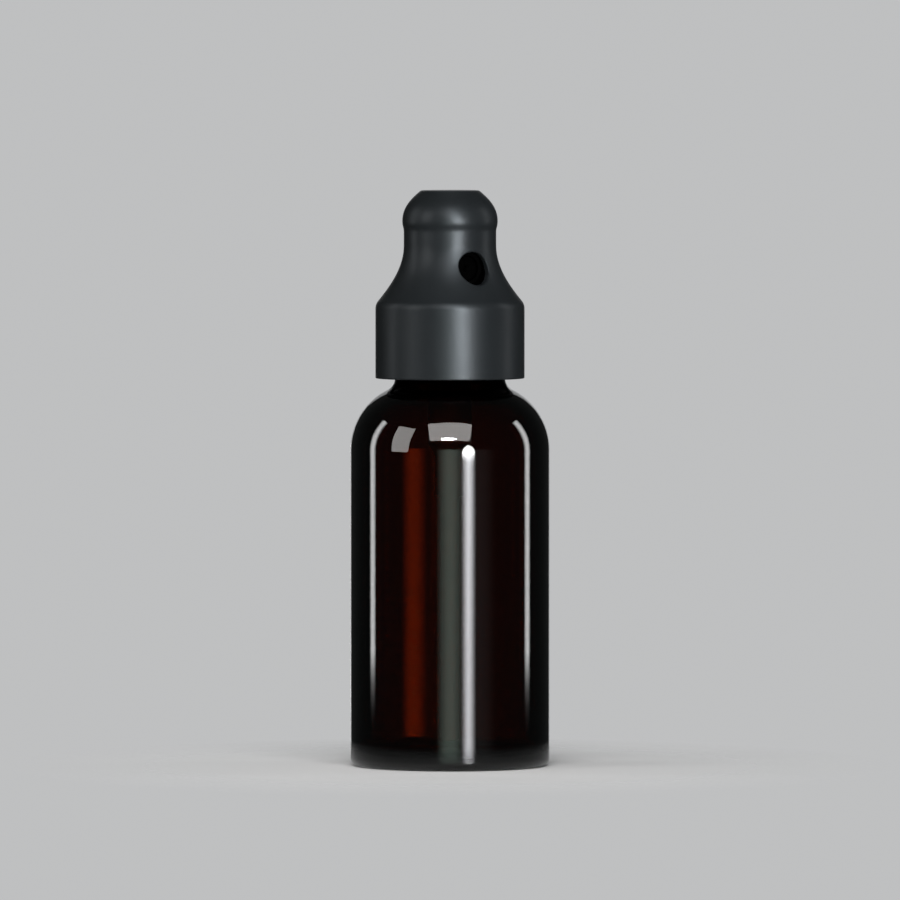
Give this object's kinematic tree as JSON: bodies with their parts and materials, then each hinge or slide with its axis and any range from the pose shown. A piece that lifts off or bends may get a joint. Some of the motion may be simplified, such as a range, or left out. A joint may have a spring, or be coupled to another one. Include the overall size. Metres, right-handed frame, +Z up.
{
  "type": "spray bottle",
  "caption": "Boston round bottle in amber glass with a dark fine-mist spray cap: round shoulder, short neck and a one-piece press-down head over the screw closure.",
  "frame": {"origin": "on the bottle's axis, at the plane that its base ring stands on", "axes": "+Z up along the bottle's axis; -Y is the pictured front; the spray hole points 29.5 degrees from -Y towards +X"},
  "size_m": [0.033, 0.033, 0.0954],
  "materials": {
    "amber_glass": "clear amber glass, polished",
    "charcoal_shell": "satin dark charcoal with a faint metallic sheen",
    "black_plastic": "moulded black",
    "black_closure": "moulded black, satin",
    "translucent_housing": "natural, slightly milky",
    "translucent_tube": "natural, clear",
    "white_turret": "moulded white",
    "white_stem": "moulded white",
    "soft_piston": "soft natural polyethylene",
    "valve_plastic": "moulded pale blue-grey",
    "retainer_plastic": "moulded off-white",
    "foam_gasket": "pale closed-cell foam",
    "seal_rubber": "black elastomer",
    "spring_steel": "drawn wire",
    "ball_steel": "polished steel"
  },
  "bodies": {
    "bottle": {"bottle": "amber_glass"},
    "pump": {"pump_housing": "translucent_housing", "gasket": "foam_gasket", "turret": "white_turret", "stem_seal": "seal_rubber", "ball_retainer": "retainer_plastic", "dip_tube": "translucent_tube", "main_spring": "spring_steel"},
    "closure": {"closure": "black_closure"},
    "actuator": {"actuator_shell": "charcoal_shell", "actuator_core": "black_plastic", "nozzle_insert": "black_plastic", "stem": "white_stem", "piston": "soft_piston", "valve_spring": "spring_steel"},
    "outlet_valve": {"valve_pin": "valve_plastic"},
    "inlet_valve": {"inlet_ball": "ball_steel"}
  },
  "joints": [
    {"name": "pump_rise", "type": "slide", "parent": "bottle", "child": "pump", "axis": [0, 0, 1], "range_m": [0, 0.00353]},
    {"name": "closure_turn", "type": "hinge", "parent": "pump", "child": "closure", "pos_m": [0, 0, 0.07569], "axis": [0, 0, 1], "range_deg": [0, 400]},
    {"name": "actuator_press", "type": "slide", "parent": "closure", "child": "actuator", "axis": [0, 0, -1], "range_m": [0, 0.0022], "stiffness_N_per_m": 1500, "springref_m": -0.002, "deforming": ["main_spring"]},
    {"name": "outlet_valve_lift", "type": "slide", "parent": "actuator", "child": "outlet_valve", "axis": [0, 0, 1], "range_m": [0, 0.0005], "stiffness_N_per_m": 300, "springref_m": -0.001, "deforming": ["valve_spring"]},
    {"name": "inlet_ball_lift", "type": "slide", "parent": "pump", "child": "inlet_valve", "axis": [0, 0, 1], "range_m": [0, 0.0008]}
  ],
  "couplings": [
    {"joint": "pump_rise", "follows": "closure_turn", "m_per_rad": 0.00050532}
  ]
}
